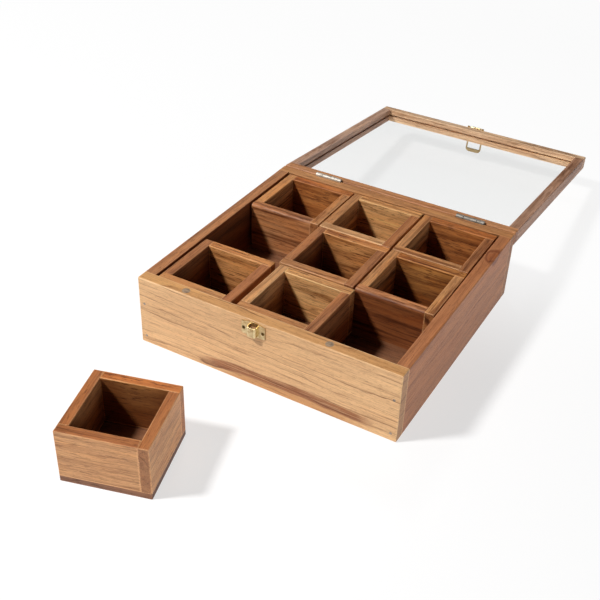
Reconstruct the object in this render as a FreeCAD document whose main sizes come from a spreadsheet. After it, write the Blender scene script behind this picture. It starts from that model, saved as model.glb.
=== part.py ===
import FreeCAD, Part
import math
import os
import re
from types import SimpleNamespace

import Sketcher

# Wooden spice box, hand made, with a glazed lid and eight loose cups.
# Millimetres. X runs left to right, Y from the front to the back, Z up.
# The origin is on the table, under the middle of the front board.
# The lid is drawn open, laid back on its hinges, and one cup stands outside.

Vector = FreeCAD.Vector
Placement = FreeCAD.Placement
Rotation = FreeCAD.Rotation
ALONG_X = Vector(1, 0, 0)
ALONG_Z = Vector(0, 0, 1)

# Driving dimensions
SIZES = (
    # box
    ("box_width", 230, "outside, left to right"),
    ("box_depth", 226, "outside, front to back"),
    ("box_height", 62.5, "from the table to the rim"),
    ("board_thickness", 10, "front, back, left and right boards"),
    ("board_ease", 1.0, "rounding of the boards' outer edges"),
    ("base_thickness", 5, "panel under the cups"),
    ("base_height", 11, "from the table to the panel's underside"),
    ("groove_depth", 4, "how far the panel goes into each board"),
    ("wood_clearance", 0.2, "play of a panel in its groove"),
    ("fit_clearance", 0.05, "play of a shank or a leaf in its seat"),
    # small pins through the front and back boards
    ("pin_radius", 0.7, "shank of a board pin"),
    ("pin_head", 1.1, "radius of its head"),
    ("pin_sink", 0.8, "thickness of its head, flush with the board"),
    ("pin_length", 22, "under the head"),
    ("pin_low", 7, "height of the lower pins"),
    ("pin_high", 38.5, "height of the upper pins"),
    # steel discs in the front rim
    ("disc_radius", 3.2, "disc let into the rim"),
    ("disc_thickness", 3, "depth of its recess"),
    ("disc_left", 43, "from the box's left end"),
    ("disc_right", 169, "from the box's left end"),
    # lid
    ("lid_thickness", 12.7, "frame of the lid"),
    ("rail_width", 9, "rails and stiles, seen from above"),
    ("lid_gap", 0.3, "between the rim and the closed lid"),
    ("glass_thickness", 2, "pane"),
    ("glass_depth", 5.4, "from the frame's underside to the pane"),
    ("glass_groove", 3.5, "how far the pane goes into the frame"),
    ("open_angle", 185.8, "where the lid comes to lie against the back"),
    # hinges
    ("hinge_offset", 0.7, "axis behind the back boards"),
    ("hinge_length", 26, "each hinge"),
    ("hinge_left", 47.5, "middle of the left hinge from the left end"),
    ("hinge_right", 188.5, "middle of the right hinge from the left end"),
    ("barrel_radius", 2.1, "outside of the knuckles"),
    ("hinge_pin", 0.7, "radius of the pin"),
    ("middle_knuckle", 12, "knuckle of the box's leaf"),
    ("knuckle_gap", 0.4, "between knuckles"),
    ("leaf_thickness", 0.7, "let in flush with the wood"),
    ("leaf_height", 9, "from the axis to the leaf's free edge"),
    ("barrel_clearance", 0.3, "between the knuckles and the notch round them"),
    ("notch_extra", 0.7, "notch beyond each end of the hinge"),
    # small countersunk screws of the hinges and the latch
    ("screw_head", 1.5, "radius of the head"),
    ("screw_shank", 0.7, "radius of the shank"),
    ("screw_length", 5, "over all"),
    ("screw_sink", 0.7, "height of the conical head"),
    ("slot_width", 0.5, "screwdriver slot"),
    ("slot_depth", 0.3, "screwdriver slot"),
    ("hinge_screw_spread", 8, "hinge screws either side of the middle"),
    ("hinge_screw_drop", 5.9, "hinge screws from the axis"),
    # latch: catch on the box, plate and bail on the lid
    ("latch_place", 107.6, "middle of the latch from the left end"),
    ("sheet_brass", 0.8, "thickness of the latch's plates"),
    ("latch_width", 20.3, "both plates"),
    ("latch_screw_spread", 8.4, "latch screws either side of the middle"),
    ("catch_foot", 14.1, "from the rim down to the catch plate's lower edge"),
    ("catch_shoulder", 3.1, "from the rim down to its top edge at the ends"),
    ("catch_crown", 1.3, "from the rim down to the top of its arched middle"),
    ("catch_arch_inset", 1.6, "straight shoulder at each end of the arch"),
    ("catch_screw_drop", 8.9, "from the rim down to its screws"),
    ("bridge_width", 8, "raised bridge that the bail snaps under"),
    ("bridge_foot", 12.7, "from the rim down to its lower edge"),
    ("bridge_head", 4.5, "from the rim down to its upper edge"),
    ("bridge_reach", 5, "how far it stands out from the wood"),
    ("bridge_round", 2.4, "its two outer corners"),
    ("plate_bottom", 0.6, "latch plate above the lid's underside"),
    ("plate_top", 11, "its top edge above the lid's underside"),
    ("plate_round", 1.0, "corners of both plates"),
    ("plate_screw_height", 8.2, "its screws above the lid's underside"),
    ("pivot_height", 5.4, "bail pivot above the lid's underside"),
    ("pivot_reach", 1.9, "bail pivot in front of the wood"),
    ("ear_face", 6.15, "outside of each ear from the middle"),
    ("ear_thickness", 0.8, "each ear"),
    ("ear_radius", 1.45, "round of each ear about the pivot"),
    ("bead_radius", 1.1, "rolled lower lip of the latch plate"),
    ("bead_length", 11.6, "along the lid's edge"),
    ("bead_clearance", 0.3, "between the lip and the box's front"),
    ("tab_width", 2.8, "flat tab at each side of the lip"),
    ("tab_inset", 0.85, "from each end of the plate to its tab"),
    ("bail_width", 17, "over both legs"),
    ("bail_thickness", 1.0, "strip that the bail is bent from"),
    ("bail_leg", 1.5, "width of each leg"),
    ("bail_straight", 11, "leg from the pivot to the bend"),
    ("bail_flare", 20, "degrees by which the finger lip stands out"),
    ("bail_bar", 3.6, "height of the bar across the bottom"),
    ("bail_head", 0.8, "leg above the pivot"),
    ("bail_pin", 0.65, "radius of the bail's two pins"),
    ("bail_pin_reach", 1.9, "length of each pin inside its leg"),
    ("bail_play", 0.1, "radial play of the pins in the ears"),
    ("bail_round", 4, "lower corners of the bail"),
    ("bail_clearance", 0.35, "between the bar and the bridge above it"),
    # cups, made to fit the bays
    ("bay_count", 3, "bays each way"),
    ("play_across", 2.5, "what a bay is wider than its cup"),
    ("play_along", 1.2, "what a bay is deeper than its cup"),
    ("cup_height", 45.5, "outside"),
    ("cup_wall", 8, "thickness of each wall"),
    ("cup_base", 5, "base plate under the walls"),
    ("cup_ease", 0.7, "rounding of the cups' edges"),
    ("cup_soft_edge", 3, "two front walls have this larger round on top"),
    ("out_turn", 16.05, "degrees by which the cup outside is turned"),
    ("out_right", 48.7, "its near left corner from the box's left end"),
    ("out_ahead", 155.6, "the same corner in front of the box"),
)

# Cups in the box: name, column and row counted from the front left corner,
# how far the cup has slid to the right and to the back, as shares of the
# play in its bay, and whether the top of its front wall is worn round
CUPS_INSIDE = (
    ("front_left_cup", 0, 0, 0.76, 0.25, False),
    ("front_middle_cup", 1, 0, 1.84, 0.25, False),
    ("centre_cup", 1, 1, 0.64, 1.25, False),
    ("middle_right_cup", 2, 1, 0.4, 0.6, True),
    ("back_left_cup", 0, 2, 0.88, 0.6, True),
    ("back_middle_cup", 1, 2, 0.4, 0.7, False),
    ("back_right_cup", 2, 2, 0.24, 0.4, False),
)
OUTSIDE_CUP = "outside_cup"
WALLS_OF_A_CUP = ("front_wall", "right_wall", "back_wall", "left_wall")

doc = FreeCAD.newDocument("spice_box")
sheet = doc.addObject("Spreadsheet::Sheet", "Sizes")
parts = []


# Spreadsheet and small helpers

def fill_sheet():
    for row, (alias, value, meaning) in enumerate(SIZES, start=1):
        sheet.set(f"A{row}", alias)
        sheet.set(f"B{row}", str(value))
        sheet.set(f"C{row}", meaning)
        sheet.setAlias(f"B{row}", alias)
    doc.recompute()
    return SimpleNamespace(**{alias: float(sheet.get(alias)) for alias, _, _ in SIZES})


def from_sheet(formula):
    """Every word with an underscore in a formula is a cell of the sheet."""
    return re.sub(r"[a-z]+(?:_[a-z]+)+", r"Sizes.\g<0>", str(formula))


def bind(thing, **formulas):
    for name, formula in formulas.items():
        thing.setExpression(name.replace("__", "."), from_sheet(formula))


def new_body(label):
    body = doc.addObject("PartDesign::Body", label)
    body.Label = label
    return body


def origin_plane(body, role):
    for feature in body.Origin.OriginFeatures:
        if feature.Role == role:
            return feature


def attach(body, thing, role="XY_Plane"):
    thing.AttachmentSupport = [(origin_plane(body, role), "")]
    thing.MapMode = "FlatFace"


def new_sketch(body, name, role="XY_Plane", height="0"):
    sketch = body.newObject("Sketcher::SketchObject", f"{body.Label}_{name}")
    attach(body, sketch, role)
    bind(sketch, AttachmentOffset__Base__z=height)
    return sketch


def draw_polygon(sketch, count):
    """A closed ring of lines, one after the other, before it is dimensioned."""
    ring = [
        Vector(2 + math.cos(2 * math.pi * i / count), 2 + math.sin(2 * math.pi * i / count), 0)
        for i in range(count)
    ]
    for i in range(count):
        sketch.addGeometry(Part.LineSegment(ring[i], ring[(i + 1) % count]), False)
    for i in range(count):
        sketch.addConstraint(Sketcher.Constraint("Coincident", i, 2, (i + 1) % count, 1))


def dimension(sketch, kind, first, second, formula, drawn=1.0):
    """A distance between two points of a sketch, drawn as such, tied to the sheet."""
    number = sketch.addConstraint(Sketcher.Constraint(kind, *first, *second, drawn))
    sketch.setExpression(f"Constraints[{number}]", from_sheet(formula))


def draw_rectangle(sketch, left, low, width, height):
    corners = (Vector(1, 1, 0), Vector(2, 1, 0), Vector(2, 2, 0), Vector(1, 2, 0))
    first = sketch.GeometryCount
    for i in range(4):
        sketch.addGeometry(Part.LineSegment(corners[i], corners[(i + 1) % 4]), False)
    for i in range(4):
        ends = (first + i, 2, first + (i + 1) % 4, 1)
        sketch.addConstraint(Sketcher.Constraint("Coincident", *ends))
        kind = ("Horizontal", "Vertical")[i % 2]
        sketch.addConstraint(Sketcher.Constraint(kind, first + i))
    dimension(sketch, "DistanceX", (-1, 1), (first, 1), left)
    dimension(sketch, "DistanceY", (-1, 1), (first, 1), low)
    dimension(sketch, "DistanceX", (first, 1), (first, 2), width)
    dimension(sketch, "DistanceY", (first + 1, 1), (first + 1, 2), height)


def draw_outline(sketch, corners):
    """A polygon whose corners are pairs of formulas."""
    draw_polygon(sketch, len(corners))
    for i, (across, up) in enumerate(corners):
        dimension(sketch, "DistanceX", (-1, 1), (i, 1), across)
        dimension(sketch, "DistanceY", (-1, 1), (i, 1), up)


def pad(body, sketch, length, both_ways=False):
    feature = body.newObject("PartDesign::Pad", f"{sketch.Label}_pad")
    feature.Profile = sketch
    feature.Midplane = both_ways
    bind(feature, Length=length)
    return feature


def block(body, name, kind, corner, size):
    """An added or cut box: its near lower corner and its three sizes."""
    feature = body.newObject(f"PartDesign::{kind}Box", f"{body.Label}_{name}")
    attach(body, feature)
    bind(feature, Length=size[0], Width=size[1], Height=size[2])
    bind(feature, AttachmentOffset__Base__x=corner[0])
    bind(feature, AttachmentOffset__Base__y=corner[1])
    bind(feature, AttachmentOffset__Base__z=corner[2])
    return feature


TURNS = {
    "up": Rotation(),
    "back": Rotation(ALONG_X, -90),
    "right": Rotation(Vector(0, 1, 0), 90),
}


def rod(body, name, kind, way, start, radius, length):
    """An added or cut cylinder from a start point, running up, back or right."""
    feature = body.newObject(f"PartDesign::{kind}Cylinder", f"{body.Label}_{name}")
    attach(body, feature)
    feature.AttachmentOffset = Placement(Vector(), TURNS[way])
    bind(feature, Radius=radius, Height=length)
    bind(feature, AttachmentOffset__Base__x=start[0])
    bind(feature, AttachmentOffset__Base__y=start[1])
    bind(feature, AttachmentOffset__Base__z=start[2])
    return feature


def countersink(body, name, start):
    """A conical seat for a screw head that enters a front face at start."""
    feature = body.newObject("PartDesign::SubtractiveCone", f"{body.Label}_{name}")
    attach(body, feature)
    feature.AttachmentOffset = Placement(Vector(), TURNS["back"])
    bind(feature, Radius1="screw_head + fit_clearance")
    bind(feature, Radius2="screw_shank + fit_clearance", Height="screw_sink")
    bind(feature, AttachmentOffset__Base__x=start[0])
    bind(feature, AttachmentOffset__Base__y=start[1])
    bind(feature, AttachmentOffset__Base__z=start[2])
    return feature


def round_off(body, radius, *places):
    """Round the edges that lie at the given x, y and z; None is anywhere."""
    doc.recompute()
    base = body.Tip
    chosen = []
    for number, edge in enumerate(base.Shape.Edges, start=1):
        box = edge.BoundBox
        spans = ((box.XMin, box.XMax), (box.YMin, box.YMax), (box.ZMin, box.ZMax))
        for place in places:
            if all(
                at is None or (abs(low - at) < 1e-4 and abs(high - at) < 1e-4)
                for at, (low, high) in zip(place, spans)
            ):
                chosen.append(f"Edge{number}")
    feature = body.newObject("PartDesign::Fillet", f"{body.Label}_round{len(body.Group)}")
    feature.Base = (base, chosen)
    bind(feature, Radius=radius)
    return feature


def keep(thing, placement):
    thing.Placement = placement
    parts.append(thing)
    return thing


def group_of(label, master, placements):
    """One node with several copies of a piece, each a solid of its own."""
    copies = []
    for number, placement in enumerate(placements, start=1):
        copy = doc.addObject("App::Link", f"{label}_{number}")
        copy.LinkedObject = master
        copy.Placement = placement
        copies.append(copy)
    compound = doc.addObject("Part::Compound", label)
    compound.Label = label
    compound.Links = copies
    parts.append(compound)
    return compound


def at(x, y, z, turn=0):
    return Placement(Vector(x, y, z), Rotation(ALONG_Z, turn))


S = fill_sheet()

# Places that several pieces share, from the driving dimensions
LEFT = -S.box_width / 2
FRONT = -S.board_thickness / 2
BACK = FRONT + S.box_depth
SEAM = S.box_height + S.lid_gap
AXIS_Y = BACK + S.hinge_offset
AXIS_Z = S.box_height + S.lid_gap / 2
LATCH_X = LEFT + S.latch_place
LID_OPEN = Placement(Vector(), Rotation(ALONG_X, -S.open_angle), Vector(0, AXIS_Y, AXIS_Z))
FACING_BACK = Rotation(ALONG_Z, 180)
UPSIDE_DOWN = Rotation(Vector(0, 1, 0), 180)
HINGE_X = (LEFT + S.hinge_left, LEFT + S.hinge_right)


# Boards
# Every board lies along X in its own frame, with its outer face at y = 0

def plain_board(label, length, thickness, height):
    body = new_body(label)
    outline = new_sketch(body, "outline")
    draw_rectangle(outline, "0", "0", length, thickness)
    pad(body, outline, height)
    return body


def cut_hinge_seats(body, places, axis_height, downwards):
    """Notches for the knuckles and shallow seats for the leaves."""
    for number, place in enumerate(places, start=1):
        left = f"{place} - hinge_length / 2"
        notch_height = "2 * (barrel_radius + barrel_clearance)"
        block(
            body, f"notch{number}", "Subtractive",
            (f"{left} - notch_extra", "-1",
             f"{axis_height} - barrel_radius - barrel_clearance"),
            ("hinge_length + 2 * notch_extra",
             "1 + barrel_radius + barrel_clearance - hinge_offset", notch_height),
        )
        reach = "leaf_height + fit_clearance"
        low = f"{axis_height} - ({reach})" if downwards else axis_height
        block(
            body, f"leaf_seat{number}", "Subtractive",
            (f"{left} - fit_clearance", "-1", low),
            ("hinge_length + 2 * fit_clearance", "1 + leaf_thickness + fit_clearance", reach),
        )
        sign = "-" if downwards else "+"
        for side in ("-", "+"):
            rod(
                body, f"hinge_pilot{number}{'a' if side == '-' else 'b'}", "Subtractive", "back",
                (f"{place} {side} hinge_screw_spread", "-1",
                 f"{axis_height} {sign} hinge_screw_drop"),
                "screw_shank + fit_clearance", "1 + screw_length + fit_clearance",
            )


def end_board(label, is_front):
    """Front or back board: full width, covering the ends of the side boards."""
    body = plain_board(label, "box_width", "board_thickness", "box_height")
    length, height = S.box_width, S.box_height
    round_off(
        body, "board_ease",
        (None, 0, height), (None, 0, 0), (0, 0, None), (length, 0, None),
        (0, None, height), (length, None, height), (0, None, 0), (length, None, 0),
    )
    block(
        body, "groove", "Subtractive",
        ("board_thickness - groove_depth", "board_thickness - groove_depth",
         "base_height - wood_clearance / 2"),
        ("box_width - 2 * (board_thickness - groove_depth)", "groove_depth + 1",
         "base_thickness + wood_clearance"),
    )
    for row, height_of_pin in enumerate(("pin_low", "pin_high")):
        for side, across in (("left", "board_thickness / 2"),
                             ("right", "box_width - board_thickness / 2")):
            rod(body, f"pin_hole_{side}{row}", "Subtractive", "back",
                (across, "-1", height_of_pin), "pin_radius + fit_clearance",
                "board_thickness + 2")
            rod(body, f"pin_seat_{side}{row}", "Subtractive", "back",
                (across, "-1", height_of_pin), "pin_head + fit_clearance", "1 + pin_sink")
    if is_front:
        for name, across in (("left", "disc_left"), ("right", "disc_right")):
            rod(body, f"disc_seat_{name}", "Subtractive", "up",
                (across, "board_thickness / 2", "box_height - disc_thickness"),
                "disc_radius + fit_clearance", "disc_thickness + 1")
        for name, side in (("left", "-"), ("right", "+")):
            rod(body, f"catch_pilot_{name}", "Subtractive", "back",
                (f"latch_place {side} latch_screw_spread", "-1", "box_height - catch_screw_drop"),
                "screw_shank + fit_clearance", "1 + screw_length - sheet_brass + fit_clearance")
    else:
        cut_hinge_seats(body, ("(box_width - hinge_left)", "(box_width - hinge_right)"),
                        "box_height + lid_gap / 2", downwards=True)
    return body


def side_board(label):
    body = plain_board(label, "box_depth - 2 * board_thickness", "board_thickness", "box_height")
    round_off(body, "board_ease", (None, 0, S.box_height), (None, 0, 0))
    block(
        body, "groove", "Subtractive",
        ("-1", "board_thickness - groove_depth", "base_height - wood_clearance / 2"),
        ("box_depth", "groove_depth + 1", "base_thickness + wood_clearance"),
    )
    for row, height_of_pin in enumerate(("pin_low", "pin_high")):
        depth = "pin_length + pin_sink - board_thickness + fit_clearance"
        rod(body, f"pin_hole_near{row}", "Subtractive", "right",
            ("0", "board_thickness / 2", height_of_pin), "pin_radius + fit_clearance", depth)
        rod(body, f"pin_hole_far{row}", "Subtractive", "right",
            (f"box_depth - 2 * board_thickness - ({depth})", "board_thickness / 2", height_of_pin),
            "pin_radius + fit_clearance", f"{depth} + 1")
    return body


def box_boards():
    keep(end_board("box_front_board", True), at(LEFT, FRONT, 0))
    keep(end_board("box_back_board", False), at(-LEFT, BACK, 0, 180))
    keep(side_board("box_right_board"), at(-LEFT, FRONT + S.board_thickness, 0, 90))
    keep(side_board("box_left_board"), at(LEFT, BACK - S.board_thickness, 0, 270))


def base_panel():
    body = new_body("box_base_panel")
    outline = new_sketch(body, "outline")
    inset = "(board_thickness - groove_depth + wood_clearance)"
    draw_rectangle(outline, inset, inset, f"box_width - 2 * {inset}", f"box_depth - 2 * {inset}")
    pad(body, outline, "base_thickness")
    keep(body, at(LEFT, FRONT, S.base_height))


# Small metal pieces of the box

def turned_piece(label, profile):
    """A piece turned about its own Y axis: pairs of radius and depth."""
    body = new_body(label)
    sketch = new_sketch(body, "profile")
    draw_outline(sketch, profile)
    spin = body.newObject("PartDesign::Revolution", f"{label}_turned")
    spin.Profile = sketch
    spin.ReferenceAxis = (sketch, ["V_Axis"])
    spin.Angle = 360
    return body


def board_pins():
    pin = turned_piece(
        "board_pin",
        (("0", "0"), ("pin_head", "0"), ("pin_head", "pin_sink"), ("pin_radius", "pin_sink"),
         ("pin_radius", "pin_sink + pin_length - 2 * pin_radius"),
         ("0", "pin_sink + pin_length")),
    )
    places = []
    across = -LEFT - S.board_thickness / 2
    for height in (S.pin_low, S.pin_high):
        for x in (-across, across):
            places.append(at(x, FRONT, height))
            places.append(at(x, BACK, height, 180))
    group_of("board_pins", pin, places)


def rim_discs():
    disc = new_body("rim_disc")
    outline = new_sketch(disc, "outline")
    outline.addGeometry(Part.Circle(Vector(), ALONG_Z, 1), False)
    outline.addConstraint(Sketcher.Constraint("Coincident", 0, 3, -1, 1))
    number = outline.addConstraint(Sketcher.Constraint("Radius", 0, 1.0))
    outline.setExpression(f"Constraints[{number}]", from_sheet("disc_radius"))
    pad(disc, outline, "disc_thickness")
    z = S.box_height - S.disc_thickness
    y = FRONT + S.board_thickness / 2
    group_of("rim_discs", disc, [at(LEFT + x, y, z) for x in (S.disc_left, S.disc_right)])


def screw():
    """Countersunk screw with a slot, head at y = 0, tip along Y."""
    body = turned_piece(
        "screw",
        (("0", "0"), ("screw_head", "0"), ("screw_shank", "screw_sink"),
         ("screw_shank", "screw_length - 1.5 * screw_shank"), ("0", "screw_length")),
    )
    block(body, "slot", "Subtractive",
          ("-screw_head - 1", "-1", "-slot_width / 2"),
          ("2 * screw_head + 2", "1 + slot_depth", "slot_width"))
    return body


# Hinges

def leaf(label, spans):
    """
    A hinge leaf that hangs down from its axis, the X axis. Its outer face
    looks along +Y, and spans are its knuckles: start and length along X.
    """
    body = new_body(label)
    outline = new_sketch(body, "outline", "YZ_Plane", "-hinge_length / 2")
    inner = "-(hinge_offset + leaf_thickness)"
    top = "(barrel_radius + barrel_clearance)"
    draw_rectangle(outline, inner, "-leaf_height", "leaf_thickness", f"leaf_height - {top}")
    pad(body, outline, "hinge_length")
    for number, (start, length) in enumerate(spans, start=1):
        rod(body, f"knuckle{number}", "Additive", "right", (start, "0", "0"),
            "barrel_radius", length)
        block(body, f"neck{number}", "Additive", (start, inner, f"-{top}"),
              (length, "leaf_thickness", top))
    rod(body, "bore", "Subtractive", "right", ("-hinge_length", "0", "0"),
        "hinge_pin + fit_clearance", "2 * hinge_length")
    for number, side in enumerate(("-", ""), start=1):
        across = f"{side}hinge_screw_spread"
        cone = body.newObject("PartDesign::SubtractiveCone", f"{label}_sink{number}")
        attach(body, cone)
        cone.AttachmentOffset = Placement(Vector(), Rotation(ALONG_X, 90))
        bind(cone, Radius1="screw_head + fit_clearance")
        bind(cone, Radius2="screw_shank + fit_clearance", Height="screw_sink")
        bind(cone, AttachmentOffset__Base__x=across)
        bind(cone, AttachmentOffset__Base__y="-hinge_offset")
        bind(cone, AttachmentOffset__Base__z="-hinge_screw_drop")
    round_off(body, "1", (-S.hinge_length / 2, None, -S.leaf_height),
              (S.hinge_length / 2, None, -S.leaf_height))
    return body


def hinges(fastener):
    middle = leaf("middle_leaf", (("-middle_knuckle / 2", "middle_knuckle"),))
    outer_length = "((hinge_length - middle_knuckle) / 2 - knuckle_gap)"
    outer = leaf("outer_leaf", (("-hinge_length / 2", outer_length),
                                ("middle_knuckle / 2 + knuckle_gap", outer_length)))
    group_of("box_hinge_leaves", middle, [at(x, AXIS_Y, AXIS_Z) for x in HINGE_X])
    flipped = [Placement(Vector(x, AXIS_Y, AXIS_Z), UPSIDE_DOWN) for x in HINGE_X]
    group_of("lid_hinge_leaves", outer, [LID_OPEN.multiply(place) for place in flipped])
    pin = new_body("hinge_pin")
    rod(pin, "rod", "Additive", "right", ("-hinge_length / 2", "0", "0"),
        "hinge_pin", "hinge_length")
    group_of("hinge_pins", pin, [at(x, AXIS_Y, AXIS_Z) for x in HINGE_X])
    across = [x + side * S.hinge_screw_spread for x in HINGE_X for side in (-1, 1)]
    low, high = AXIS_Z - S.hinge_screw_drop, AXIS_Z + S.hinge_screw_drop
    box_side = [Placement(Vector(x, BACK, low), FACING_BACK) for x in across]
    lid_side = [Placement(Vector(x, BACK, high), FACING_BACK) for x in across]
    return box_side, lid_side


# Latch

def brass_plate(body, low, high):
    """A plate in front of the face y = 0, from low to high, middle at x = 0."""
    outline = new_sketch(body, "outline", "XZ_Plane")
    draw_rectangle(outline, "-latch_width / 2", low, "latch_width", f"{high} - ({low})")
    pad(body, outline, "sheet_brass")


def latch_screw_seats(body, height):
    for name, side in (("left", "-"), ("right", "")):
        countersink(body, f"sink_{name}",
                    (f"{side}latch_screw_spread", "-sheet_brass", height))
        rod(body, f"shank_hole_{name}", "Subtractive", "back",
            (f"{side}latch_screw_spread", "-sheet_brass", height),
            "screw_shank + fit_clearance", "sheet_brass")


def catch():
    """Plate on the box's front with a raised bridge; z = 0 is the rim."""
    body = new_body("latch_catch")
    brass_plate(body, "-catch_foot", "-catch_shoulder")
    arch = new_sketch(body, "arch", "XZ_Plane")
    half = "(latch_width / 2 - catch_arch_inset)"
    rise = "(catch_shoulder - catch_crown)"
    left = Vector(S.catch_arch_inset - S.latch_width / 2, -S.catch_shoulder, 0)
    right = Vector(-left.x, left.y, 0)
    drawn_rise = S.catch_shoulder - S.catch_crown
    drawn_radius = (right.x ** 2 + drawn_rise ** 2) / (2 * drawn_rise)
    arch.addGeometry(Part.LineSegment(left, right), False)
    arch.addGeometry(Part.Arc(right, Vector(0, -S.catch_crown, 0), left), False)
    arch.addConstraint(Sketcher.Constraint("Coincident", 0, 2, 1, 1))
    arch.addConstraint(Sketcher.Constraint("Coincident", 0, 1, 1, 2))
    arch.addConstraint(Sketcher.Constraint("Horizontal", 0))
    dimension(arch, "DistanceX", (0, 1), (0, 2), f"2 * {half}", 2 * right.x)
    dimension(arch, "DistanceX", (-1, 1), (0, 1), f"-{half}", left.x)
    dimension(arch, "DistanceY", (-1, 1), (0, 1), "-catch_shoulder", left.y)
    number = arch.addConstraint(Sketcher.Constraint("Radius", 1, drawn_radius))
    radius = f"({half} * {half} + {rise} * {rise}) / (2 * {rise})"
    arch.setExpression(f"Constraints[{number}]", from_sheet(radius))
    pad(body, arch, "sheet_brass")
    block(body, "bridge", "Additive",
          ("-bridge_width / 2", "-bridge_reach", "-bridge_foot"),
          ("bridge_width", "bridge_reach", "bridge_foot - bridge_head"))
    side = S.bridge_width / 2
    round_off(body, "bridge_round", (-side, -S.bridge_reach, None), (side, -S.bridge_reach, None))
    block(body, "tunnel", "Subtractive",
          ("-bridge_width / 2 + sheet_brass", "-bridge_reach + sheet_brass", "-bridge_foot"),
          ("bridge_width - 2 * sheet_brass", "bridge_reach", "bridge_foot - bridge_head"))
    inner_side, inner_face = side - S.sheet_brass, S.sheet_brass - S.bridge_reach
    round_off(body, "bridge_round - sheet_brass",
              (-inner_side, inner_face, None), (inner_side, inner_face, None))
    latch_screw_seats(body, "-catch_screw_drop")
    half_width = S.latch_width / 2
    round_off(body, "plate_round",
              (-half_width, None, -S.catch_foot), (half_width, None, -S.catch_foot))
    keep(body, at(LATCH_X, FRONT, S.box_height))


def latch_plate():
    """Plate on the lid's front edge: two ears, a rolled lower lip and two tabs."""
    body = new_body("latch_plate")
    brass_plate(body, "plate_bottom", "plate_top")
    for name, left in (("left", "-ear_face"), ("right", "ear_face - ear_thickness")):
        rod(body, f"ear_{name}", "Additive", "right", (left, "-pivot_reach", "pivot_height"),
            "ear_radius", "ear_thickness")
        block(body, f"ear_root_{name}", "Additive",
              (left, "-pivot_reach", "pivot_height - ear_radius"),
              ("ear_thickness", "pivot_reach", "2 * ear_radius"))
    rod(body, "ear_holes", "Subtractive", "right", ("-ear_face - 1", "-pivot_reach", "pivot_height"),
        "bail_pin + bail_play", "2 * ear_face + 2")
    rod(body, "lip", "Additive", "right",
        ("-bead_length / 2", "-bead_clearance - bead_radius", "0"), "bead_radius", "bead_length")
    block(body, "lip_root", "Additive",
          ("-bead_length / 2", "-bead_clearance - bead_radius", "0"),
          ("bead_length", "bead_radius", "plate_bottom + 1"))
    for name, left in (("left", "-latch_width / 2 + tab_inset"),
                       ("right", "latch_width / 2 - tab_inset - tab_width")):
        block(body, f"tab_{name}", "Additive",
              (left, "-bead_clearance - sheet_brass", "-bead_radius"),
              ("tab_width", "sheet_brass", "bead_radius + plate_bottom + 1"))
    latch_screw_seats(body, "plate_screw_height")
    half_width = S.latch_width / 2
    round_off(body, "plate_round",
              (-half_width, None, S.plate_bottom), (half_width, None, S.plate_bottom),
              (-half_width, None, S.plate_top), (half_width, None, S.plate_top))
    keep(body, LID_OPEN.multiply(at(LATCH_X, FRONT, SEAM)))


def bail():
    """
    The swinging bail, bent from a strip. Its pivot is the X axis, its legs
    hang down, and below the bend the strip stands out towards -Y as a lip.
    The lip is long enough for its bar to snap under the catch's bridge.
    """
    body = new_body("latch_bail")
    drop = "(bridge_foot + lid_gap + pivot_height + bail_clearance)"
    lip = f"(({drop} - bail_straight) / cos(bail_flare * 1 deg) + bail_bar)"
    half = "(bail_thickness / 2)"
    across = f"{lip} * sin(bail_flare * 1 deg)"
    down = f"{lip} * cos(bail_flare * 1 deg)"
    shift_y = f"{half} * cos(bail_flare * 1 deg)"
    shift_z = f"{half} * sin(bail_flare * 1 deg)"
    bend = f"{half} * tan(bail_flare * 0.5 deg)"
    side = new_sketch(body, "side", "YZ_Plane")
    draw_outline(side, (
        (f"-{half}", "bail_head"),
        (f"-{half}", f"-bail_straight + {bend}"),
        (f"-{across} - {shift_y}", f"-bail_straight - {down} + {shift_z}"),
        (f"-{across} + {shift_y}", f"-bail_straight - {down} - {shift_z}"),
        (half, f"-bail_straight - {bend}"),
        (half, "bail_head"),
    ))
    pad(body, side, "bail_width", both_ways=True)
    block(body, "window", "Subtractive",
          ("-bail_width / 2 + bail_leg", "-20", f"-{drop}"),
          ("bail_width - 2 * bail_leg", "40", f"{drop} + bail_head + 1"))
    for name, start in (("left", "-bail_width / 2 + bail_leg - 0.2"),
                        ("right", "bail_width / 2 - bail_leg - bail_pin_reach")):
        rod(body, f"pin_{name}", "Additive", "right", (start, "0", "0"),
            "bail_pin", "bail_pin_reach + 0.2")
    round_bail_corners(body)
    doc.recompute()
    centre = body.Shape.CenterOfGravity
    hang = math.degrees(math.atan2(-centre.y, -centre.z))
    pivot = LID_OPEN.multVec(Vector(LATCH_X, FRONT - S.pivot_reach, SEAM + S.pivot_height))
    keep(body, Placement(pivot, Rotation(ALONG_X, hang)))


def round_bail_corners(body):
    """The two lower outside corners, across the thickness of the lip."""
    doc.recompute()
    base = body.Tip
    edges = []
    for number, edge in enumerate(base.Shape.Edges, start=1):
        box = edge.BoundBox
        at_side = abs(abs(box.XMin) - S.bail_width / 2) < 1e-4 and box.XLength < 1e-4
        at_bottom = box.ZMax < base.Shape.BoundBox.ZMin + S.bail_thickness
        short = edge.Length < 1.2 * S.bail_thickness
        if at_side and at_bottom and short:
            edges.append(f"Edge{number}")
    feature = body.newObject("PartDesign::Fillet", "latch_bail_corners")
    feature.Base = (base, edges)
    bind(feature, Radius="bail_round")


# Lid

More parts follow.
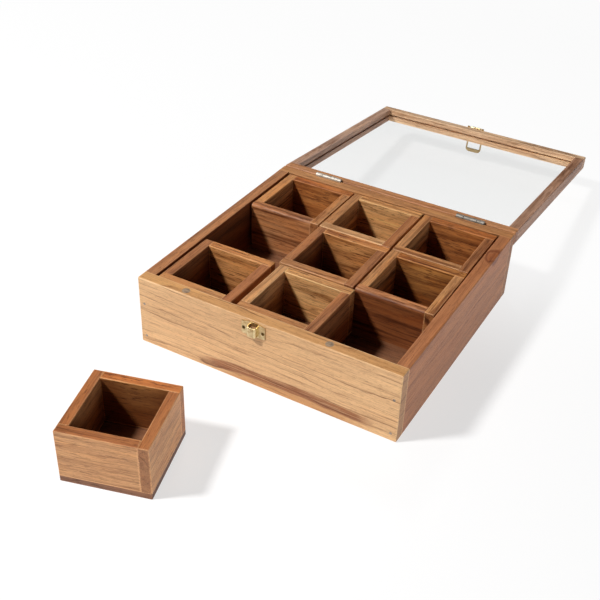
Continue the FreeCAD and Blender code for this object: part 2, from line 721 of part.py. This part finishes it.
def lid_rail(label, is_front):
    """Front or back rail: full width, with a stopped groove for the glass."""
    body = plain_board(label, "box_width", "rail_width", "lid_thickness")
    length, height = S.box_width, S.lid_thickness
    round_off(
        body, "board_ease",
        (None, 0, height), (None, 0, 0), (0, 0, None), (length, 0, None),
        (0, None, height), (length, None, height), (0, None, 0), (length, None, 0),
    )
    block(
        body, "groove", "Subtractive",
        ("rail_width - glass_groove", "rail_width - glass_groove",
         "glass_depth - wood_clearance / 2"),
        ("box_width - 2 * (rail_width - glass_groove)", "glass_groove + 1",
         "glass_thickness + wood_clearance"),
    )
    if is_front:
        for name, side in (("left", "-"), ("right", "+")):
            rod(body, f"plate_pilot_{name}", "Subtractive", "back",
                (f"latch_place {side} latch_screw_spread", "-1", "plate_screw_height"),
                "screw_shank + fit_clearance", "1 + screw_length - sheet_brass + fit_clearance")
    else:
        cut_hinge_seats(body, ("(box_width - hinge_left)", "(box_width - hinge_right)"),
                        "-lid_gap / 2", downwards=False)
    return body


def lid_stile(label):
    body = plain_board(label, "box_depth - 2 * rail_width", "rail_width", "lid_thickness")
    round_off(body, "board_ease", (None, 0, S.lid_thickness), (None, 0, 0))
    block(
        body, "groove", "Subtractive",
        ("-1", "rail_width - glass_groove", "glass_depth - wood_clearance / 2"),
        ("box_depth", "glass_groove + 1", "glass_thickness + wood_clearance"),
    )
    return body


def lid_frame():
    closed = {
        "lid_front_rail": at(LEFT, FRONT, SEAM),
        "lid_back_rail": at(-LEFT, BACK, SEAM, 180),
        "lid_right_stile": at(-LEFT, FRONT + S.rail_width, SEAM, 90),
        "lid_left_stile": at(LEFT, BACK - S.rail_width, SEAM, 270),
    }
    for label, place in closed.items():
        if label.endswith("rail"):
            body = lid_rail(label, label == "lid_front_rail")
        else:
            body = lid_stile(label)
        keep(body, LID_OPEN.multiply(place))


def lid_glass():
    pane = doc.addObject("Part::Box", "lid_glass")
    pane.Label = "lid_glass"
    inset = "(rail_width - glass_groove + wood_clearance)"
    bind(pane, Length=f"box_width - 2 * {inset}", Width=f"box_depth - 2 * {inset}",
         Height="glass_thickness")
    gap = S.rail_width - S.glass_groove + S.wood_clearance
    keep(pane, LID_OPEN.multiply(at(LEFT + gap, FRONT + gap, SEAM + S.glass_depth)))


# Cups

CUP_WIDTH = "((box_width - 2 * board_thickness) / bay_count - play_across)"
CUP_DEPTH = "((box_depth - 2 * board_thickness) / bay_count - play_along)"
BAY_WIDTH = (S.box_width - 2 * S.board_thickness) / S.bay_count
BAY_DEPTH = (S.box_depth - 2 * S.board_thickness) / S.bay_count


def cup_wall(label, span, worn):
    """One wall of a cup; its end at x = 0 covers the wall beside it."""
    body = plain_board(label, f"{span} - cup_wall", "cup_wall", "cup_height - cup_base")
    top = S.cup_height - S.cup_base
    if worn:
        round_off(body, "cup_soft_edge", (None, 0, top))
        round_off(body, "cup_ease", (None, S.cup_wall, top))
    else:
        round_off(body, "cup_ease", (None, 0, top), (None, S.cup_wall, top),
                  (0, None, top), (0, 0, None))
    return body


def cup(name, corner, worn):
    """Four walls that lap each other round the corners, on a base plate."""
    width = BAY_WIDTH - S.play_across
    depth = BAY_DEPTH - S.play_along
    starts = ((0, 0), (width, 0), (width, depth), (0, depth))
    for turn, (side, (x, y)) in enumerate(zip(WALLS_OF_A_CUP, starts)):
        span = (CUP_WIDTH, CUP_DEPTH)[turn % 2]
        body = cup_wall(f"{name}_{side}", span, worn and side == "front_wall")
        keep(body, corner.multiply(at(x, y, S.cup_base, 90 * turn)))
    base = plain_board(f"{name}_base", CUP_WIDTH, CUP_DEPTH, "cup_base")
    round_off(base, "cup_ease",
              (0, 0, None), (width, 0, None), (width, depth, None), (0, depth, None))
    keep(base, corner)


def cups():
    floor = S.base_height + S.base_thickness
    for name, column, row, slid_right, slid_back, worn in CUPS_INSIDE:
        x = LEFT + S.board_thickness + column * BAY_WIDTH + slid_right * S.play_across
        y = FRONT + S.board_thickness + row * BAY_DEPTH + slid_back * S.play_along
        cup(name, at(x, y, floor), worn)
    cup(OUTSIDE_CUP, at(LEFT + S.out_right, FRONT - S.out_ahead, 0, S.out_turn), False)


# Assembly

def fasten(master, box_side, lid_side):
    across = [LATCH_X + side * S.latch_screw_spread for side in (-1, 1)]
    face = FRONT - S.sheet_brass
    box_side = box_side + [at(x, face, S.box_height - S.catch_screw_drop) for x in across]
    lid_side = lid_side + [at(x, face, SEAM + S.plate_screw_height) for x in across]
    group_of("box_screws", master, box_side)
    group_of("lid_screws", master, [LID_OPEN.multiply(place) for place in lid_side])


def check_and_write():
    doc.recompute()
    for thing in doc.Objects:
        if "Invalid" in thing.State or "Error" in thing.State:
            raise RuntimeError(f"{thing.Label} could not be made: {thing.State}")
    for part in parts:
        shape = part.Shape
        if shape.isNull() or not shape.isValid() or not shape.Solids:
            raise RuntimeError(f"{part.Label} has no sound shape")
    os.makedirs("parts", exist_ok=True)
    for part in parts:
        part.Shape.exportStep(f"parts/{part.Label}.step")
    solids = sum(len(part.Shape.Solids) for part in parts)
    print(len(parts), "nodes,", solids, "solids")


box_boards()
base_panel()
board_pins()
rim_discs()
lid_frame()
lid_glass()
fastener = screw()
fasten(fastener, *hinges(fastener))
catch()
latch_plate()
bail()
cups()
check_and_write()
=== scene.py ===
# %% [markdown]
# # A wooden spice box
# This lesson dresses a finished CAD model for a photograph. The box, its
# glass lid, the little brass latch and eight loose cups come in as solids.
# Here they get their woods, metals and glass, and a small photo studio.

# %% Load the solids
import math

import bpy
from mathutils import Matrix, Vector

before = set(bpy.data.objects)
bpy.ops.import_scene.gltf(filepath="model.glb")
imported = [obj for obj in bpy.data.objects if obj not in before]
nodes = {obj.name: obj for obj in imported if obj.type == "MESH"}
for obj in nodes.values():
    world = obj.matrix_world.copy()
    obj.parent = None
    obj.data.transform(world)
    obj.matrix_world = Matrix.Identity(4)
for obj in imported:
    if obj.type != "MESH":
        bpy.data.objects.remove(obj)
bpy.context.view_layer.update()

scene = bpy.context.scene

# %% [markdown]
# ## A small language for materials
# A shader is a web of nodes, and its maths soon takes hundreds of clicks.
# The class below wraps one socket of that web, so that `a * b + 0.2` adds
# the Math nodes by itself. Colours and vectors need nodes of their own,
# because a Math node would turn them grey.

# %% Socket maths
class Sock:
    """One output socket of a material, with operators that add Math nodes."""

    def __init__(self, tree, socket):
        self.tree = tree
        self.socket = socket

    def _math(self, operation, *values):
        return node(self.tree, "ShaderNodeMath", {"operation": operation}, dict(enumerate(values)))

    def __add__(self, other): return self._math("ADD", self, other)
    def __sub__(self, other): return self._math("SUBTRACT", self, other)
    def __mul__(self, other): return self._math("MULTIPLY", self, other)
    def __truediv__(self, other): return self._math("DIVIDE", self, other)
    def __radd__(self, other): return self._math("ADD", other, self)
    def __rsub__(self, other): return self._math("SUBTRACT", other, self)
    def __rmul__(self, other): return self._math("MULTIPLY", other, self)
    def __neg__(self): return self._math("MULTIPLY", self, -1)
    def __abs__(self): return self._math("ABSOLUTE", self)

    def sqrt(self): return self._math("SQRT", self)
    def fract(self): return self._math("FRACT", self)
    def least(self, other): return self._math("MINIMUM", self, other)
    def most(self, other): return self._math("MAXIMUM", self, other)

    def step(self, start, end):
        """0 below start, 1 above end and a smooth ramp between them."""
        settings = {"interpolation_type": "SMOOTHSTEP", "clamp": True}
        inputs = {"Value": self, "From Min": start, "From Max": end}
        return node(self.tree, "ShaderNodeMapRange", settings, inputs)


def node(tree, kind, settings=None, inputs=None, output=0):
    """Any other node: its type, its settings, then the values of its sockets."""
    made = tree.nodes.new(kind)
    for name, value in (settings or {}).items():
        setattr(made, name, value)
    for name, value in (inputs or {}).items():
        socket = made.inputs[name]
        if isinstance(value, Sock):
            tree.links.new(value.socket, socket)
        elif socket.type == "RGBA":
            socket.default_value = (*value, 1)
        else:
            socket.default_value = value
    return Sock(tree, made.outputs[output])


def tint(tree, factor, colour, by):
    """Multiply a colour by another one, as far as the factor says."""
    settings = {"data_type": "RGBA", "blend_type": "MULTIPLY"}
    return node(tree, "ShaderNodeMix", settings, {0: factor, 6: colour, 7: by}, 2)


def mix(tree, factor, first, second):
    settings = {"data_type": "RGBA"}
    return node(tree, "ShaderNodeMix", settings, {0: factor, 6: first, 7: second}, 2)


def split(tree, vector):
    made = tree.nodes.new("ShaderNodeSeparateXYZ")
    tree.links.new(vector.socket, made.inputs[0])
    return [Sock(tree, out) for out in made.outputs]


def join(tree, x, y, z):
    return node(tree, "ShaderNodeCombineXYZ", None, {0: x, 1: y, 2: z})


def noise(tree, vector, stretch=(1, 1, 1), detail=3, roughness=0.55):
    """Soft random values round 0.5; stretch is spots per unit each way."""
    placed = node(tree, "ShaderNodeMapping", {"vector_type": "POINT"},
                  {"Vector": vector, "Scale": stretch})
    inputs = {"Vector": placed, "Scale": 1.0, "Detail": detail, "Roughness": roughness}
    return node(tree, "ShaderNodeTexNoise", {"noise_dimensions": "3D"}, inputs)


def ramp(tree, factor, stops):
    made = tree.nodes.new("ShaderNodeValToRGB")
    while len(made.color_ramp.elements) < len(stops):
        made.color_ramp.elements.new(0.5)
    for element, (place, colour) in zip(made.color_ramp.elements, stops):
        element.position = place
        element.color = (*colour, 1)
    tree.links.new(factor.socket, made.inputs[0])
    return Sock(tree, made.outputs[0])


print("Sock has", len([name for name in vars(Sock) if callable(getattr(Sock, name))]), "methods")

# %% [markdown]
# ## Colours and surfaces
# Painters write a colour as six signs, such as c9a170. A renderer counts
# light, so the signs are turned to linear values once, here. The Principled
# shader then takes colour, roughness and a bump made from height.

# %% Colour and surface helpers
def srgb(text):
    values = [int(text[i:i + 2], 16) / 255 for i in (0, 2, 4)]
    return tuple(v / 12.92 if v <= 0.04045 else ((v + 0.055) / 1.055) ** 2.4 for v in values)


def times(colour, factors):
    return tuple(min(a * b, 0.92) for a, b in zip(colour, factors))


def new_material(name):
    material = bpy.data.materials.new(name)
    material.use_nodes = True
    material.node_tree.nodes.clear()
    return material, material.node_tree


def output(tree, shader):
    made = tree.nodes.new("ShaderNodeOutputMaterial")
    tree.links.new(shader.socket, made.inputs[0])


def surface(tree, inputs, height, distance, strength):
    bumped = node(tree, "ShaderNodeBump", None,
                  {"Height": height, "Distance": distance, "Strength": strength})
    inputs = {**inputs, "Normal": bumped}
    output(tree, node(tree, "ShaderNodeBsdfPrincipled", None, inputs))


def give(name, material):
    nodes[name].data.materials.clear()
    nodes[name].data.materials.append(material)


# %% [markdown]
# ## Wood
# A board is a slice of a log, so the best wood is made as a log: rings round
# a pith, long fibres, and open pores along them. Because the pattern is
# solid, end grain appears by itself wherever a board is cut across. Every
# board has a frame of its own: X runs along the grain, Y across its face and
# Z through it, all in millimetres from the middle of the board.

# %% The frame of a board
MM = 0.001


def own_frame(name, yaw=0.0, pitch=0.0, on_edge=True):
    """Centre, turn and half size of a board in its own frame."""
    turn = Matrix.Rotation(pitch, 3, "X") @ Matrix.Rotation(yaw, 3, "Z")
    if on_edge:
        turn = turn @ Matrix.Rotation(math.pi / 2, 3, "X")
    back = turn.transposed()
    corners = [back @ vertex.co for vertex in nodes[name].data.vertices]
    low = Vector(min(c[i] for c in corners) for i in range(3))
    high = Vector(max(c[i] for c in corners) for i in range(3))
    return turn @ ((low + high) / 2), turn, (high - low) / 2 / MM


print("front board, half size in mm:", tuple(round(v, 1) for v in own_frame("box_front_board")[2]))

# %% [markdown]
# The wood itself is built up in layers, from large to small. Slow waves bend
# the rings. Bands and rings choose a tone between dark and light. Then come
# streaks, end grain, painted shade on the inner faces, worn edges with a
# painted highlight, and last the fine fibres and pores, which also make the
# bump.

# %% Wood
def wood(name, own, tone, seed, pith=(40, 12), rings=0.17, figure=1.0, lines=1.0, dashes=1.0,
         rim=(0.92, 0.84, 0.75), inside=None, tilt=0.0, streak=None, knot=None):
    """
    pith is the middle of the log, in mm across and through. rings is rings
    per mm, tilt lets them climb along the board. streak is a band of dark
    heartwood: (height across, half width, start along, end along). knot is
    (along, across, through, radius). rim colours the narrow faces. inside is
    (which face, how much): painted shade on that face, darker towards the
    bottom and the corners.
    """
    centre, turn, half = own
    material, tree = new_material(name)
    object_place = node(tree, "ShaderNodeTexCoord", None, None, 3)
    # a Mapping node of type Texture takes the centre off and turns back
    placed = node(tree, "ShaderNodeMapping", {"vector_type": "TEXTURE"},
                  {"Vector": object_place, "Location": tuple(centre),
                   "Rotation": tuple(turn.to_euler()), "Scale": (MM, MM, MM)})
    along, across, through = split(tree, placed)
    log = join(tree, along + seed * 317, across + seed * 71, through + seed * 53)

    # slow waves, then rings round the pith
    sway = noise(tree, log, (0.006, 0.03, 0.03), 2) - 0.5
    wander = noise(tree, log, (0.022, 0.06, 0.06), 3) - 0.5
    y = across - pith[0] + along * tilt + sway * 24 + wander * 7
    z = through - pith[1] + sway * 12
    if knot:
        dx, dy, dz = along - knot[0], across - knot[1], through - knot[2]
        near = ((dx * dx * 0.2 + dy * dy + dz * dz) / knot[3] ** 2).sqrt() + wander * 3
        y = y + (1 - near.step(0.2, 2.4)) * (knot[3] * 2)
    radius = (y * y + z * z).sqrt()
    fibre = noise(tree, log, (0.04, 1.9, 1.9), 3, 0.6)
    ring = (radius * rings + (fibre - 0.5) * 0.15 + sway).fract()
    broken = noise(tree, log, (0.012, 0.12, 0.12), 2).step(0.38, 0.62)
    late = ring.step(0.55, 0.93) * (1 - ring.step(0.93, 1.0)) * broken
    line = ring.step(0.85, 0.92) * (1 - ring.step(0.94, 0.99)) * broken

    # the tone: 0 is the darkest wood of this board and 1 the palest
    year = noise(tree, join(tree, radius * 0.16, along * 0.003, through * 0.01 + seed * 7), detail=2)
    bands = noise(tree, log, (0.016, 0.2, 0.2), 4, 0.6)
    veins = noise(tree, log, (0.025, 1.0, 1.0), 3, 0.6)
    level = ((year - 0.5) * (1.2 * figure) + (bands - 0.5) * (1.0 * figure)
             + (veins - 0.5) * (0.5 + 0.3 * figure) + (fibre - 0.5) * 0.5 - late * (0.09 * lines) + 0.62)
    colour = ramp(tree, level, (
        (0.0, times(tone, (0.26, 0.19, 0.14))), (0.3, times(tone, (0.55, 0.45, 0.36))),
        (0.6, tone), (0.82, times(tone, (1.22, 1.25, 1.2))), (1.0, times(tone, (1.4, 1.5, 1.45)))))
    flush = noise(tree, log, (0.014, 0.08, 0.08), 3)
    colour = tint(tree, flush.step(0.42, 0.68) * min(0.4 * figure, 1), colour, (1.0, 0.80, 0.60))
    colour = tint(tree, line * min(0.45 * lines, 1), colour, (0.42, 0.31, 0.24))

    if streak:
        place, width, start, end = streak
        bow = along - (start + end) * 0.8
        low = across - place + bow * bow * 0.0006 + sway * 3 + wander * 6
        body = (1 - (abs(low) / width).step(0.6, 1.1)) * along.step(start, start + 20)
        body = body * (1 - along.step(end - 20, end)) * (veins.step(0.36, 0.56) * 0.6 + 0.4)
        colour = tint(tree, body, colour, (0.38, 0.20, 0.12))
        below = (1 - low.step(-width - 1, 0)) * along.step(start + 10, start + 50)
        colour = tint(tree, below * (1 - along.step(end - 40, end)), colour, (0.80, 0.66, 0.52))
    if knot:
        bark = near.step(0.6, 0.85) * (1 - near.step(0.95, 1.3))
        colour = tint(tree, bark, colour, (0.55, 0.40, 0.34))
        colour = tint(tree, 1 - near.step(0.5, 0.8), colour, (0.8, 0.66, 0.56))

    # pores: short dark dashes where a stretched noise peaks
    rough_patch = noise(tree, log, (0.02, 0.09, 0.09), 2).step(0.36, 0.62)
    dash = noise(tree, log, (0.11, 1.2, 1.2), 2, 0.5).step(0.59, 0.62) * (rough_patch * 0.6 + 0.4)
    pore = noise(tree, log, (0.28, 3.4, 3.4), 1, 0.5).step(0.62, 0.72)
    colour = tint(tree, dash * min(0.55 * dashes, 1), colour, (0.26, 0.18, 0.13))
    colour = tint(tree, pore * 0.6, colour, (0.4, 0.30, 0.24))

    # end grain drinks more oil; the narrow faces are a little browner too
    normal = node(tree, "ShaderNodeTexCoord", None, None, 1)
    facing = [node(tree, "ShaderNodeVectorMath", {"operation": "DOT_PRODUCT"},
                   {0: normal, 1: tuple(turn.col[i])}, 1) for i in range(3)]
    colour = tint(tree, abs(facing[0]).step(0.6, 0.8), colour, (0.62, 0.53, 0.49))
    colour = tint(tree, abs(facing[1]).step(0.6, 0.8), colour, rim)
    # painted shade on the chosen inner face, darker towards the bottom and the corners
    if inside:
        depth = (1 - across / half[1]) * 0.5
        corner = 1 - (half[0] - abs(along)).step(5, 26)
        painted_shade = (depth * 0.4 + 0.7) * inside[1] + depth * depth + corner * 0.35
        painted_shade = (facing[2] * inside[0]).step(0.6, 0.8) * painted_shade
        colour = tint(tree, painted_shade, colour, (0.35, 0.25, 0.18))

    # edges rubbed pale, partly real wear and partly a painted highlight: the
    # middle one of the three distances to a face is small
    gaps = [half[i] - abs(v) for i, v in enumerate((along, across, through))]
    edge = gaps[0].most(gaps[1]).least(gaps[1].most(gaps[2])).least(gaps[0].most(gaps[2]))
    wear_and_highlight = (1 - (edge + (bands - 0.5) * 2).step(0.2, 1.0)) * (veins.step(0.4, 0.6) * 0.5 + 0.5)
    colour = mix(tree, wear_and_highlight * 0.7, colour, times(tone, (1.45, 1.5, 1.55)))

    roughness = 0.50 + (fibre - 0.5) * 0.25 + pore * 0.12 - wear_and_highlight * 0.10
    height = fibre * 0.5 + veins * 0.3 - pore * 0.7 - dash * 0.8 - late * 0.1
    surface(tree, {"Base Color": colour, "Roughness": roughness, "Specular IOR Level": 0.35},
            height, 0.0003, 0.45)
    return material


# %% [markdown]
# ## The box's boards
# The front board is the show side: a pale honey colour, with a dark streak
# of heartwood low down that thins out to the right. The sides are browner,
# and the right one has a knot near the back.

# %% Boards of the box
TONES = {
    "honey": srgb("d6aa7b"), "light": srgb("d6a575"), "pale": srgb("ddb67f"),
    "tan": srgb("c48f60"), "brown": srgb("b0784f"), "russet": srgb("a86d46"),
    "mauve": srgb("9a7059"), "orange": srgb("bd7f45"), "dark": srgb("80563c"),
    "straw": srgb("d4ae8a"), "dusty": srgb("a98570"), "shaded_mahogany": srgb("834a27"),
    "walnut": srgb("a17861"), "amber": srgb("d9975c"), "rust": srgb("b8743f"),
    "gold": srgb("e2aa70"),
}
SIDEWAYS = math.pi / 2          # the grain runs from front to back


def dress(name, tone, seed, yaw=0.0, pitch=0.0, on_edge=True, **more):
    own = own_frame(name, yaw, pitch, on_edge)
    give(name, wood(f"{name}_wood", own, TONES[tone], seed, **more))


dress("box_front_board", "honey", 1, pith=(75, 14), rings=0.15, tilt=0.03, figure=0.25, lines=1.6,
      dashes=0.45, rim=(0.97, 0.82, 0.62), streak=(-20.8, 4.4, -62, 100))
# the inner faces of the back and side boards get painted shade, darker towards the bottom
dress("box_back_board", "tan", 2, inside=(1, 0.7))
dress("box_left_board", "brown", 3, SIDEWAYS, rim=(1.0, 1.0, 1.0), inside=(1, 1.6))
dress("box_right_board", "russet", 4, SIDEWAYS, figure=0.6, lines=0.5, dashes=0.6,
      rim=(1.2, 1.2, 1.2), inside=(-1, 0.7), knot=(67, 31, 1, 4.5))
dress("box_base_panel", "dark", 5, on_edge=False)
print("5 boards dressed")

# %% [markdown]
# ## The lid's frame
# It lies open, turned on its hinges, so its pattern is turned by the same
# angle. The rail that now lies farthest back is the lid's front rail.

# %% Frame of the lid
OPEN = -math.radians(185.8)
PALE_RIM = (1.3, 1.35, 1.4)
dress("lid_front_rail", "straw", 6, pitch=OPEN, rim=PALE_RIM)
dress("lid_back_rail", "brown", 7, pitch=OPEN, rim=PALE_RIM)
dress("lid_left_stile", "dusty", 8, SIDEWAYS, OPEN, rim=PALE_RIM)
dress("lid_right_stile", "walnut", 9, SIDEWAYS, OPEN, rim=(1.6, 1.75, 1.8))
print("4 pieces of the lid's frame dressed")

# %% [markdown]
# ## The cups
# Every cup is four walls round a base plate, and every wall was cut from
# whatever was at hand, so each one gets its own tone and its own seed.

# %% Walls and bases of the cups
# tones of the front, right, back and left wall, how much painted shade darkens
# the back and the left wall inside, and how strong the figure is
CUPS = {
    "front_left_cup": ("tan", "russet", "amber", "brown", -0.2, 0.6, 1.2),
    "front_middle_cup": ("tan", "brown", "gold", "light", -0.6, 0.0, 1.2),
    "centre_cup": ("tan", "brown", "amber", "brown", 0.05, 0.5, 1.3),
    "middle_right_cup": ("shaded_mahogany", "tan", "orange", "tan", 0.25, -0.6, 2.2),
    "back_left_cup": ("brown", "tan", "rust", "tan", -0.2, -1.0, 1.8),
    "back_middle_cup": ("light", "brown", "gold", "tan", -0.7, -1.1, 1.2),
    "back_right_cup": ("tan", "brown", "rust", "tan", -0.15, -1.1, 1.6),
    "outside_cup": ("tan", "tan", "amber", "tan", 0.7, -0.2, 0.7),
}
WALLS = ("front_wall", "right_wall", "back_wall", "left_wall")
for number, (cup, (*tones, back_dark, left_dark, figure)) in enumerate(CUPS.items()):
    turned = math.radians(16.05) if cup == "outside_cup" else 0.0
    for side, (wall, tone) in enumerate(zip(WALLS, tones)):
        # painted shade on the inner face of each wall: a fixed amount on the front and right walls, the
        # listed amounts on the back and left walls
        inside = ((-1, 0.6), (-1, 1.0), (1, back_dark), (1, left_dark))[side]
        more = {"figure": figure, "inside": inside}
        if wall == "back_wall":
            more["dashes"] = 1.8
        if cup == "outside_cup":
            more["rim"] = (0.78, 0.56, 0.42)
        # painted shade and highlight: this tone darkens the middle-right cup's front wall for the shade
        # on its face, and the rim below paints its top pale for the light on it
        if tone == "shaded_mahogany":
            more["rim"] = (2.6, 3.8, 5.4)
        dress(f"{cup}_{wall}", tone, 10 + number * 5 + side, turned + (side % 2) * SIDEWAYS, **more)
    dress(f"{cup}_base", "dark", 14 + number * 5, turned, on_edge=False, rim=(1.2, 1.2, 1.2))
print(len(CUPS), "cups dressed")

# %% [markdown]
# ## Metals and glass
# The latch is thin polished brass, the hinges are plated bright, and the
# nails and the two discs in the rim are steel gone dull.

# %% Brass, plate, steel and glass
def metal(name, bright, dull, roughness, metallic=1.0, right=1.0):
    """right is painted shade: how bright the metal is drawn on the right side of the box."""
    material, tree = new_material(name)
    place = node(tree, "ShaderNodeTexCoord", None, None, 3)
    smudge = noise(tree, place, (350, 350, 350), 3, 0.6)
    grain = noise(tree, place, (700, 3500, 3500), 2, 0.5)
    colour = mix(tree, smudge.step(0.38, 0.72), bright, dull)
    # painted shade: the metal on the right side of the box is darkened
    if right != 1.0:
        across = split(tree, place)[0]
        colour = tint(tree, across.step(-0.01, 0.01), colour, (right, right, right))
    rough = smudge * 0.16 + grain * 0.08 + roughness
    surface(tree, {"Base Color": colour, "Metallic": metallic, "Roughness": rough},
            grain * 0.5 + smudge * 0.5, 0.00004, 0.12)
    return material


brass = metal("polished_brass", srgb("e2cfa2"), srgb("bfa472"), 0.22)
screw = metal("dark_screws", srgb("7d6238"), srgb("3f2f1a"), 0.35)
# the last 0.5 paints the right hinge in shade, at half brightness
plated = metal("bright_hinge_plate", srgb("d0c9be"), srgb("a89d8e"), 0.38, 0.4, 0.5)
steel = metal("dull_steel", srgb("a3968a"), srgb("786c62"), 0.36, 0.7)
filler = metal("worn_disc", srgb("b89c80"), srgb("86705e"), 0.40, 0.4)
for name in ("latch_catch", "latch_plate", "latch_bail"):
    give(name, brass)
for name in ("lid_screws", "box_screws"):
    give(name, screw)
for name in ("box_hinge_leaves", "lid_hinge_leaves"):
    give(name, plated)
for name in ("board_pins", "hinge_pins"):
    give(name, steel)
give("rim_discs", filler)


def pane(name):
    """Clear glass that lets the light through to the floor below it."""
    material, tree = new_material(name)
    place = node(tree, "ShaderNodeTexCoord", None, None, 3)
    dust = noise(tree, place, (60, 60, 60), 4, 0.6)
    mirror = node(tree, "ShaderNodeBsdfGlossy", None, {"Roughness": dust * 0.05 + 0.01})
    clear = node(tree, "ShaderNodeBsdfTransparent", None, {"Color": (0.992, 0.996, 0.994)})
    slant = node(tree, "ShaderNodeLayerWeight", None, {"Blend": 0.5}, 1)
    gleam = slant * slant * slant * slant * slant * 0.9 + 0.04
    output(tree, node(tree, "ShaderNodeMixShader", None,
                      {0: gleam * 0.5 + dust.step(0.6, 0.9) * 0.02, 1: clear, 2: mirror}))
    return material


give("lid_glass", pane("lid_pane"))
print("10 metal pieces and 1 pane dressed")

# %% [markdown]
# ## Studio
# A white floor without an edge. It glows a little by itself where the camera
# looks at it, so that it stays white and the shadows on it stay soft. The
# glow takes over towards the back, where the photo's shadows fade away.

# %% Floor
bpy.ops.object.select_all(action="DESELECT")
bpy.ops.mesh.primitive_plane_add(size=12, location=(0, 0, 0))
floor = bpy.context.active_object
floor.name = "studio_floor"
material, tree = new_material("studio_floor")
rays = tree.nodes.new("ShaderNodeLightPath")
seen = Sock(tree, rays.outputs["Is Camera Ray"]).most(
    Sock(tree, rays.outputs["Is Glossy Ray"])).most(Sock(tree, rays.outputs["Is Transmission Ray"]))
paint = node(tree, "ShaderNodeBsdfDiffuse", None, {"Color": (0.85, 0.85, 0.85)})
wide, deep, _ = split(tree, node(tree, "ShaderNodeTexCoord", None, None, 3))
near = 1 - (wide * wide + deep * deep).sqrt().step(0.8, 1.6)
matt = (0.16 + (1 - deep.step(0.08, 0.30)) * 0.30) * near
white = (1 - matt * 0.75) / (1 - matt)
glow = node(tree, "ShaderNodeEmission", None, {"Color": join(tree, white, white, white), "Strength": 1.0})
# painted light: towards the box the floor glows and lights its outer faces from below, as a lamp would
floor_glow_light = node(tree, "ShaderNodeEmission", None, {"Color": (1, 1, 1), "Strength": 2.5})
lit = node(tree, "ShaderNodeMixShader", None, {0: seen, 1: floor_glow_light, 2: glow})
output(tree, node(tree, "ShaderNodeMixShader", None, {0: 0.30 + seen * (0.70 - matt), 1: paint, 2: lit}))
floor.data.materials.append(material)
print("floor", tuple(round(v, 1) for v in floor.dimensions))

# %% [markdown]
# The key lamp stands at the front left and throws the crisp shadows inside
# the cups. A wide lamp at the right fills the sides, and two weak ones above
# and behind put light on the metal. The world is dim, but white to look at.

# %% Lamps and world
def lamp(name, way, distance, size, level):
    """level 1 lights a white card that faces the lamp fully white."""
    data = bpy.data.lights.new(name, "AREA")
    data.shape = "DISK"
    data.size = size
    data.energy = level * (math.pi * distance) ** 2
    made = bpy.data.objects.new(name, data)
    scene.collection.objects.link(made)
    made.location = Vector(way).normalized() * distance + Vector((0, 0.1, 0.03))
    made.rotation_euler = (-Vector(way)).to_track_quat("-Z", "Y").to_euler()


lamp("key_lamp", (-1, -1, 1.6), 2.4, 0.32, 1.02)
lamp("fill_lamp", (1, -0.25, 0.14), 1.8, 0.9, 0.25)
lamp("top_lamp", (0.1, 0.2, 1), 2.0, 0.7, 0.01)
lamp("back_lamp", (-0.55, 0.85, 1), 2.0, 0.4, 0.09)
world = bpy.data.worlds.new("studio")
scene.world = world
world.use_nodes = True
tree = world.node_tree
tree.nodes.clear()
rays = tree.nodes.new("ShaderNodeLightPath")
dim = node(tree, "ShaderNodeBackground", None, {"Color": (1, 1, 1), "Strength": 0.015})
white = node(tree, "ShaderNodeBackground", None, {"Color": (1, 1, 1), "Strength": 1.0})
sky = node(tree, "ShaderNodeMixShader", None,
           {0: Sock(tree, rays.outputs["Is Camera Ray"]), 1: dim, 2: white})
tree.links.new(sky.socket, tree.nodes.new("ShaderNodeOutputWorld").inputs[0])

# %% [markdown]
# ## Camera
# It stands where the photographer stood: right of the box, in front of it and
# rather high, looking down at the open cups.

# %% Camera
data = bpy.data.cameras.new("camera")
data.sensor_width = 36
data.lens = 58.40
data.clip_start = 0.05
camera = bpy.data.objects.new("camera", data)
scene.collection.objects.link(camera)
right = Vector((0.86573286, 0.49960568, 0.03001287))
up = Vector((-0.30924272, 0.48678911, 0.81694878))
axes = Matrix((right, up, right.cross(up))).transposed()
camera.matrix_world = Matrix.Translation((0.3013, -0.4970, 0.4911)) @ axes.to_4x4()
scene.camera = camera
scene.view_settings.view_transform = "Standard"
print("camera at", tuple(round(v, 3) for v in camera.matrix_world.translation))

# %% [markdown]
